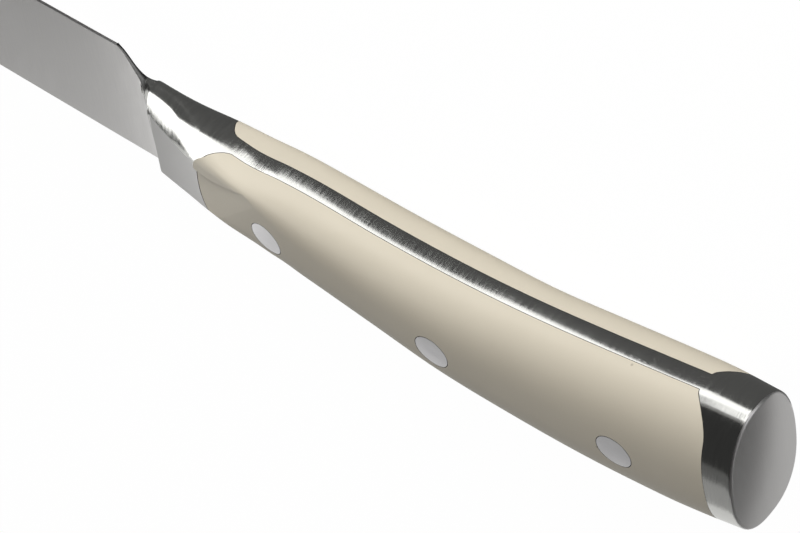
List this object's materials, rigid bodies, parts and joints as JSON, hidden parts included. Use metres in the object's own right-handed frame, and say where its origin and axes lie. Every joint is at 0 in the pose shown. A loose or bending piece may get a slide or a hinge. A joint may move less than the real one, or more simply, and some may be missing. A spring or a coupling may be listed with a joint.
{
  "type": "carving knife",
  "caption": "Forged carving knife with a long tapered blade, a sculpted bolster with ground flats, a full tang between riveted scales and a rounded steel butt cap.",
  "frame": {"origin": "centre of the bounding box in plan, on the plane that touches the lowest point of the left scale as the knife lies on its left side", "axes": "+X along the blade towards the tip, +Y from the cutting edge towards the spine, +Z out of the knife's right side"},
  "size_m": [0.3336, 0.034, 0.0185],
  "materials": {
    "steel": "satin blade and flats, polished bolster, belly and butt cap",
    "scale": "smooth cream plastic with a soft sheen",
    "rivet": "satin, ground flush with the scales"
  },
  "bodies": {
    "root": {"forged_blade": "steel", "right_scale": "scale", "left_scale": "scale", "front_rivet_pin": "rivet", "front_rivet_sleeve": "rivet", "middle_rivet_pin": "rivet", "middle_rivet_sleeve": "rivet", "rear_rivet_pin": "rivet", "rear_rivet_sleeve": "rivet"}
  },
  "joints": []
}
